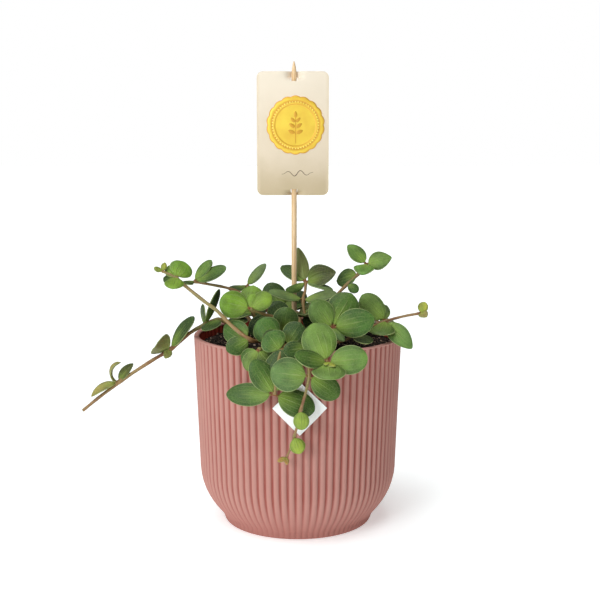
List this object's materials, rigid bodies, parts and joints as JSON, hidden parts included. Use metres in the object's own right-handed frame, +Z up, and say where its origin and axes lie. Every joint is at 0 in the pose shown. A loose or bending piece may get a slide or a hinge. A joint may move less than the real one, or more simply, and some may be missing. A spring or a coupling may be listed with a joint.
{
  "type": "potted trailing peperomia",
  "caption": "Trailing peperomia with round fleshy leaves in a fluted matt pot, with a name card slotted onto a wooden stick and a small diamond label on the pot.",
  "frame": {"origin": "centre of the pot's flat base, where it stands", "axes": "+Z up along the pot's axis, -Y towards the viewer and the card's printed face, +X to the viewer's right"},
  "size_m": [0.227, 0.1904, 0.308],
  "materials": {
    "pot_matt": "old-rose moulded plastic with a smooth matt skin",
    "soil": "dark crumbly potting soil",
    "stick_wood": "pale untreated wood",
    "card": "cream card with a gold print",
    "label": "plain white paper label",
    "leaves": "fleshy green leaves on tan stems, satin"
  },
  "bodies": {
    "root": {"pot": "pot_matt", "soil": "soil", "stick": "stick_wood", "name_card": "card", "pot_label": "label", "shoot_left_trailing": "leaves", "shoot_upper_left": "leaves", "shoot_left_back": "leaves", "shoot_bright_whorl": "leaves", "shoot_back_left": "leaves", "shoot_crown": "leaves", "shoot_upper_right": "leaves", "shoot_right": "leaves", "shoot_front": "leaves", "shoot_front_left": "leaves", "shoot_middle": "leaves", "shoot_inner": "leaves", "shoot_centre": "leaves", "shoot_back_hanging": "leaves", "shoot_back_right": "leaves", "shoot_back_corner": "leaves"}
  },
  "joints": []
}
